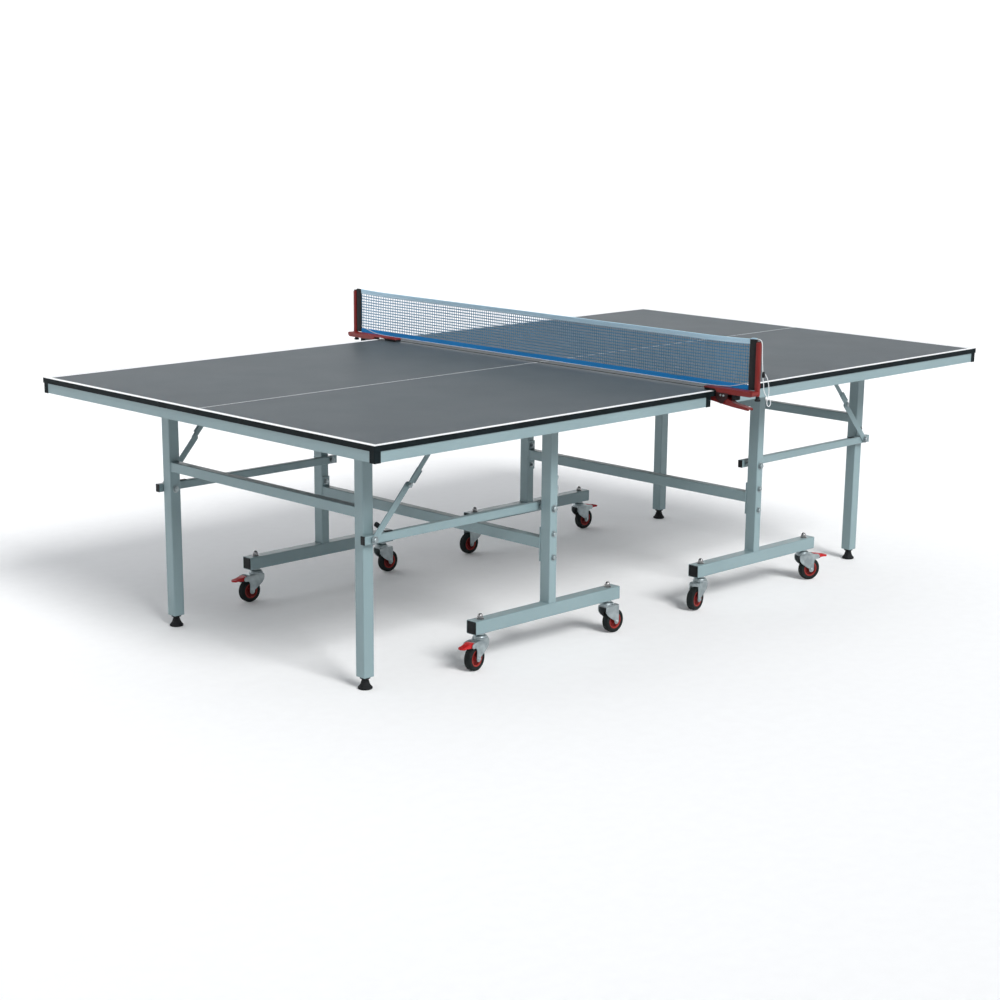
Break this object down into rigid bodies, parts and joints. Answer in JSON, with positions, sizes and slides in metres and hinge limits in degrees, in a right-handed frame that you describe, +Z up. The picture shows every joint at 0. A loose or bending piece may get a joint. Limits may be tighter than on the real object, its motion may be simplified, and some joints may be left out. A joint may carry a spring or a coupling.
{
  "type": "table tennis table",
  "caption": "Two-part folding table tennis table on wheeled frames, with drop-down end legs, folding stays, brake casters and a clamp-on net.",
  "frame": {"origin": "on the floor, under the middle of the table where the two halves meet", "axes": "+X along the table's length, +Y across it, +Z up"},
  "size_m": [2.74, 1.8324, 0.9265],
  "materials": {
    "playing_surface": "matt coated, grey",
    "black_edge": "satin black",
    "bracket_zinc": "zinc plated",
    "bright_zinc": "bright zinc",
    "black_plastic": "moulded black",
    "foot_rubber": "moulded black",
    "tyre_rubber": "rubber tyre on a dark red hub",
    "pedal_red": "bright red",
    "clamp_red": "red powder coat",
    "net_mesh": "woven mesh",
    "net_tape": "woven tape, pale blue above, bright blue below",
    "cord_white": "braided",
    "silver_paint": "silver blue powder coat"
  },
  "bodies": {
    "left_trolley": {"left_near_wheel_leg": "silver_paint", "left_far_wheel_leg": "silver_paint", "left_trolley_crossbar": "silver_paint", "left_trolley_fasteners": "bright_zinc", "left_beam_caps": "black_plastic"},
    "left_table": {"left_board": "playing_surface", "left_edge_trim": "black_edge", "left_apron": "silver_paint", "left_hinge_brackets": "bracket_zinc", "net_mesh": "net_mesh", "net_tapes": "net_tape", "near_net_bracket": "clamp_red", "far_net_bracket": "clamp_red", "net_pads_and_plugs": "black_plastic", "net_cord": "cord_white", "cord_lock": "black_plastic"},
    "left_end_legs": {"left_leg_frame": "silver_paint", "left_leg_bolts": "bright_zinc"},
    "left_feet": {"left_levelling_feet": "foot_rubber"},
    "left_links": {"left_link_bars": "silver_paint"},
    "left_stay_uppers": {"left_upper_stays": "silver_paint"},
    "left_stay_lowers": {"left_lower_stays": "silver_paint"},
    "left_near_outer_swivel": {"left_near_outer_fork": "bright_zinc"},
    "left_near_outer_roller": {"left_near_outer_wheel": "tyre_rubber"},
    "left_near_outer_brake": {"left_near_outer_brake_pedal": "pedal_red"},
    "left_near_inner_swivel": {"left_near_inner_fork": "bright_zinc"},
    "left_near_inner_roller": {"left_near_inner_wheel": "tyre_rubber"},
    "left_far_outer_swivel": {"left_far_outer_fork": "bright_zinc"},
    "left_far_outer_roller": {"left_far_outer_wheel": "tyre_rubber"},
    "left_far_outer_brake": {"left_far_outer_brake_pedal": "pedal_red"},
    "left_far_inner_swivel": {"left_far_inner_fork": "bright_zinc"},
    "left_far_inner_roller": {"left_far_inner_wheel": "tyre_rubber"},
    "right_trolley": {"right_near_wheel_leg": "silver_paint", "right_far_wheel_leg": "silver_paint", "right_trolley_crossbar": "silver_paint", "right_trolley_fasteners": "bright_zinc", "right_beam_caps": "black_plastic"},
    "right_table": {"right_board": "playing_surface", "right_edge_trim": "black_edge", "right_apron": "silver_paint", "right_hinge_brackets": "bracket_zinc"},
    "right_end_legs": {"right_leg_frame": "silver_paint", "right_leg_bolts": "bright_zinc"},
    "right_feet": {"right_levelling_feet": "foot_rubber"},
    "right_links": {"right_link_bars": "silver_paint"},
    "right_stay_uppers": {"right_upper_stays": "silver_paint"},
    "right_stay_lowers": {"right_lower_stays": "silver_paint"},
    "right_near_outer_swivel": {"right_near_outer_fork": "bright_zinc"},
    "right_near_outer_roller": {"right_near_outer_wheel": "tyre_rubber"},
    "right_near_outer_brake": {"right_near_outer_brake_pedal": "pedal_red"},
    "right_near_inner_swivel": {"right_near_inner_fork": "bright_zinc"},
    "right_near_inner_roller": {"right_near_inner_wheel": "tyre_rubber"},
    "right_far_outer_swivel": {"right_far_outer_fork": "bright_zinc"},
    "right_far_outer_roller": {"right_far_outer_wheel": "tyre_rubber"},
    "right_far_outer_brake": {"right_far_outer_brake_pedal": "pedal_red"},
    "right_far_inner_swivel": {"right_far_inner_fork": "bright_zinc"},
    "right_far_inner_roller": {"right_far_inner_wheel": "tyre_rubber"},
    "near_clamp": {"near_clamp_lever": "clamp_red"},
    "far_clamp": {"far_clamp_lever": "clamp_red"},
    "hook": {"storage_hook": "bright_zinc"}
  },
  "joints": [
    {"name": "left_roll_apart", "type": "slide", "parent": "right_trolley", "child": "left_trolley", "axis": [-1, 0, 0], "range_m": [0, 0.3142]},
    {"name": "left_fold", "type": "hinge", "parent": "left_trolley", "child": "left_table", "pos_m": [-0.483, 0, 0.688], "axis": [0, 1, 0], "range_deg": [0, 90]},
    {"name": "left_leg_fold", "type": "hinge", "parent": "left_table", "child": "left_end_legs", "pos_m": [-1.134, 0, 0.688], "axis": [0, 1, 0], "range_deg": [-90, 0]},
    {"name": "left_link_swing", "type": "hinge", "parent": "left_trolley", "child": "left_links", "pos_m": [-0.483, 0, 0.434], "axis": [0, 1, 0], "range_deg": [0, 90]},
    {"name": "left_upper_stay_swing", "type": "hinge", "parent": "left_table", "child": "left_stay_uppers", "pos_m": [-0.904, 0, 0.688], "axis": [0, 1, 0], "range_deg": [0, 47.84]},
    {"name": "left_lower_stay_swing", "type": "hinge", "parent": "left_end_legs", "child": "left_stay_lowers", "pos_m": [-1.134, 0, 0.434], "axis": [0, 1, 0], "range_deg": [-42.17, 0]},
    {"name": "left_feet_screw", "type": "slide", "parent": "left_end_legs", "child": "left_feet", "axis": [0, 0, -1], "range_m": [0, 0.012]},
    {"name": "left_near_outer_swivel", "type": "hinge", "parent": "left_trolley", "child": "left_near_outer_swivel", "pos_m": [-0.762, -0.522, 0.096], "axis": [0, 0, 1], "continuous": true},
    {"name": "left_near_outer_roll", "type": "hinge", "parent": "left_near_outer_swivel", "child": "left_near_outer_roller", "pos_m": [-0.78958, -0.52686, 0.0375], "axis": [0.1736, -0.9848, 0], "continuous": true},
    {"name": "left_near_outer_brake_press", "type": "hinge", "parent": "left_near_outer_swivel", "child": "left_near_outer_brake", "pos_m": [-0.81321, -0.53103, 0.08], "axis": [0.1736, -0.9848, 0], "range_deg": [0, 14]},
    {"name": "left_near_inner_swivel", "type": "hinge", "parent": "left_trolley", "child": "left_near_inner_swivel", "pos_m": [-0.221, -0.522, 0.096], "axis": [0, 0, 1], "continuous": true},
    {"name": "left_near_inner_roll", "type": "hinge", "parent": "left_near_inner_swivel", "child": "left_near_inner_roller", "pos_m": [-0.193, -0.522, 0.0375], "axis": [0, 1, 0], "continuous": true},
    {"name": "left_far_outer_swivel", "type": "hinge", "parent": "left_trolley", "child": "left_far_outer_swivel", "pos_m": [-0.762, 0.522, 0.096], "axis": [0, 0, 1], "continuous": true},
    {"name": "left_far_outer_roll", "type": "hinge", "parent": "left_far_outer_swivel", "child": "left_far_outer_roller", "pos_m": [-0.79, 0.522, 0.0375], "axis": [0, -1, 0], "continuous": true},
    {"name": "left_far_outer_brake_press", "type": "hinge", "parent": "left_far_outer_swivel", "child": "left_far_outer_brake", "pos_m": [-0.814, 0.522, 0.08], "axis": [0, -1, 0], "range_deg": [0, 14]},
    {"name": "left_far_inner_swivel", "type": "hinge", "parent": "left_trolley", "child": "left_far_inner_swivel", "pos_m": [-0.221, 0.522, 0.096], "axis": [0, 0, 1], "continuous": true},
    {"name": "left_far_inner_roll", "type": "hinge", "parent": "left_far_inner_swivel", "child": "left_far_inner_roller", "pos_m": [-0.193, 0.522, 0.0375], "axis": [0, 1, 0], "continuous": true},
    {"name": "right_fold", "type": "hinge", "parent": "right_trolley", "child": "right_table", "pos_m": [0.483, 0, 0.688], "axis": [0, -1, 0], "range_deg": [0, 90]},
    {"name": "right_leg_fold", "type": "hinge", "parent": "right_table", "child": "right_end_legs", "pos_m": [1.134, 0, 0.688], "axis": [0, -1, 0], "range_deg": [-90, 0]},
    {"name": "right_link_swing", "type": "hinge", "parent": "right_trolley", "child": "right_links", "pos_m": [0.483, 0, 0.434], "axis": [0, -1, 0], "range_deg": [0, 90]},
    {"name": "right_upper_stay_swing", "type": "hinge", "parent": "right_table", "child": "right_stay_uppers", "pos_m": [0.904, 0, 0.688], "axis": [0, -1, 0], "range_deg": [0, 47.84]},
    {"name": "right_lower_stay_swing", "type": "hinge", "parent": "right_end_legs", "child": "right_stay_lowers", "pos_m": [1.134, 0, 0.434], "axis": [0, -1, 0], "range_deg": [-42.17, 0]},
    {"name": "right_feet_screw", "type": "slide", "parent": "right_end_legs", "child": "right_feet", "axis": [0, 0, -1], "range_m": [0, 0.012]},
    {"name": "right_near_outer_swivel", "type": "hinge", "parent": "right_trolley", "child": "right_near_outer_swivel", "pos_m": [0.762, -0.522, 0.096], "axis": [0, 0, 1], "continuous": true},
    {"name": "right_near_outer_roll", "type": "hinge", "parent": "right_near_outer_swivel", "child": "right_near_outer_roller", "pos_m": [0.78863, -0.53065, 0.0375], "axis": [0.309, 0.9511, 0], "continuous": true},
    {"name": "right_near_outer_brake_press", "type": "hinge", "parent": "right_near_outer_swivel", "child": "right_near_outer_brake", "pos_m": [0.81146, -0.53807, 0.08], "axis": [0.309, 0.9511, 0], "range_deg": [0, 14]},
    {"name": "right_near_inner_swivel", "type": "hinge", "parent": "right_trolley", "child": "right_near_inner_swivel", "pos_m": [0.221, -0.522, 0.096], "axis": [0, 0, 1], "continuous": true},
    {"name": "right_near_inner_roll", "type": "hinge", "parent": "right_near_inner_swivel", "child": "right_near_inner_roller", "pos_m": [0.19343, -0.52686, 0.0375], "axis": [0.1736, -0.9848, 0], "continuous": true},
    {"name": "right_far_outer_swivel", "type": "hinge", "parent": "right_trolley", "child": "right_far_outer_swivel", "pos_m": [0.762, 0.522, 0.096], "axis": [0, 0, 1], "continuous": true},
    {"name": "right_far_outer_roll", "type": "hinge", "parent": "right_far_outer_swivel", "child": "right_far_outer_roller", "pos_m": [0.79, 0.522, 0.0375], "axis": [0, 1, 0], "continuous": true},
    {"name": "right_far_outer_brake_press", "type": "hinge", "parent": "right_far_outer_swivel", "child": "right_far_outer_brake", "pos_m": [0.814, 0.522, 0.08], "axis": [0, 1, 0], "range_deg": [0, 14]},
    {"name": "right_far_inner_swivel", "type": "hinge", "parent": "right_trolley", "child": "right_far_inner_swivel", "pos_m": [0.221, 0.522, 0.096], "axis": [0, 0, 1], "continuous": true},
    {"name": "right_far_inner_roll", "type": "hinge", "parent": "right_far_inner_swivel", "child": "right_far_inner_roller", "pos_m": [0.193, 0.522, 0.0375], "axis": [0, -1, 0], "continuous": true},
    {"name": "near_clamp_squeeze", "type": "hinge", "parent": "left_table", "child": "near_clamp", "pos_m": [-0.021, -0.786, 0.734], "axis": [-1, 0, 0], "range_deg": [0, 12], "stiffness_Nm_per_rad": 4, "springref_deg": -14.32},
    {"name": "far_clamp_squeeze", "type": "hinge", "parent": "left_table", "child": "far_clamp", "pos_m": [-0.021, 0.786, 0.734], "axis": [1, 0, 0], "range_deg": [0, 12], "stiffness_Nm_per_rad": 4, "springref_deg": -14.32},
    {"name": "hook_swing", "type": "hinge", "parent": "left_trolley", "child": "hook", "pos_m": [-0.459, -0.522, 0.522], "axis": [1, 0, 0], "range_deg": [-90, 90]}
  ],
  "couplings": [
    {"joint": "left_leg_fold", "follows": "left_fold", "ratio": -1},
    {"joint": "left_link_swing", "follows": "left_fold", "ratio": 1},
    {"joint": "left_upper_stay_swing", "follows": "left_fold", "ratio": 0.53154},
    {"joint": "left_lower_stay_swing", "follows": "left_fold", "ratio": -0.46846},
    {"joint": "right_leg_fold", "follows": "right_fold", "ratio": -1},
    {"joint": "right_link_swing", "follows": "right_fold", "ratio": 1},
    {"joint": "right_upper_stay_swing", "follows": "right_fold", "ratio": 0.53154},
    {"joint": "right_lower_stay_swing", "follows": "right_fold", "ratio": -0.46846},
    {"joint": "left_roll_apart", "follows": "left_fold", "m_per_rad": 0.2}
  ]
}
